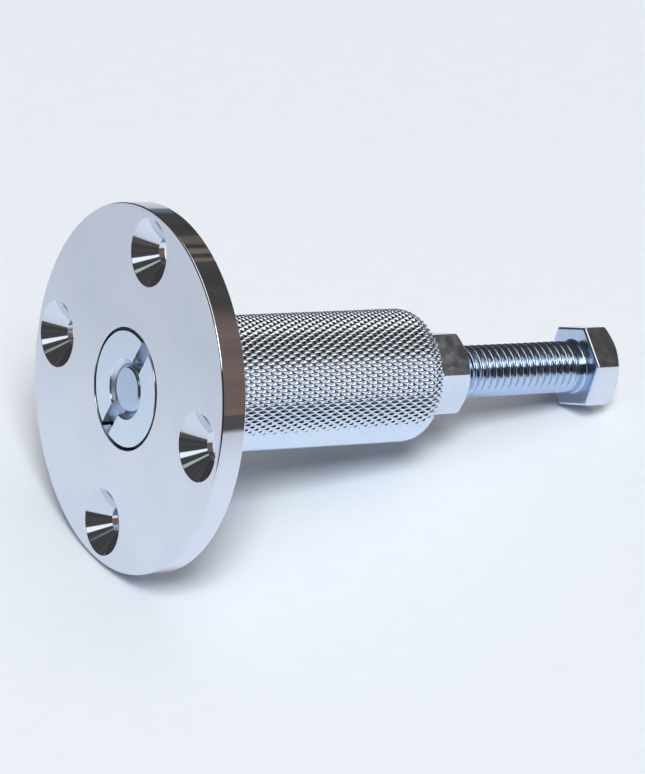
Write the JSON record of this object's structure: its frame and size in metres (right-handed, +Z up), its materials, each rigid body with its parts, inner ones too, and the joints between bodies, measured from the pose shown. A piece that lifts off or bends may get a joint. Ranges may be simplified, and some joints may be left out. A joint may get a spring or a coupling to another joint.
{
  "type": "flush-mount levelling fitting",
  "caption": "Round screw-down flange with a knurled barrel turning in it, a long hexagon bolt threaded through the barrel and a jam nut to lock it.",
  "frame": {"origin": "on the surface that the fitting lies on, under the middle of its bounding box", "axes": "+Z up; +X from the flange towards the bolt's head; the fitting's own axis lies in the XZ plane and slopes 14.0 degrees down towards +X"},
  "size_m": [0.1406, 0.084, 0.0828],
  "materials": {
    "flange_chrome": "bright chrome plate, lightly polished, on steel",
    "barrel_chrome": "bright chrome plate over a fine diamond knurl",
    "bolt_plating": "bright plated rolled thread and head",
    "nut_plating": "bright plated, faintly tumbled",
    "ring_steel": "plain spring wire"
  },
  "bodies": {
    "flange": {"mounting_flange": "flange_chrome", "retaining_ring": "ring_steel"},
    "barrel": {"knurled_barrel": "barrel_chrome"},
    "bolt": {"adjusting_bolt": "bolt_plating"},
    "nut": {"jam_nut": "nut_plating"}
  },
  "joints": [
    {"name": "barrel_turn", "type": "hinge", "parent": "flange", "child": "barrel", "pos_m": [-0.06025, 0, 0.04212], "axis": [-0.9704, 0, 0.2416], "range_deg": [-3316, 8290]},
    {"name": "bolt_travel", "type": "slide", "parent": "flange", "child": "bolt", "axis": [0.9704, 0, -0.2416], "range_m": [-0.018, 0.045]},
    {"name": "nut_travel", "type": "slide", "parent": "barrel", "child": "nut", "axis": [0.9704, 0, -0.2416], "range_m": [0, 0.01563]}
  ],
  "couplings": [
    {"joint": "bolt_travel", "follows": "barrel_turn", "m_per_rad": 0.00031096}
  ]
}
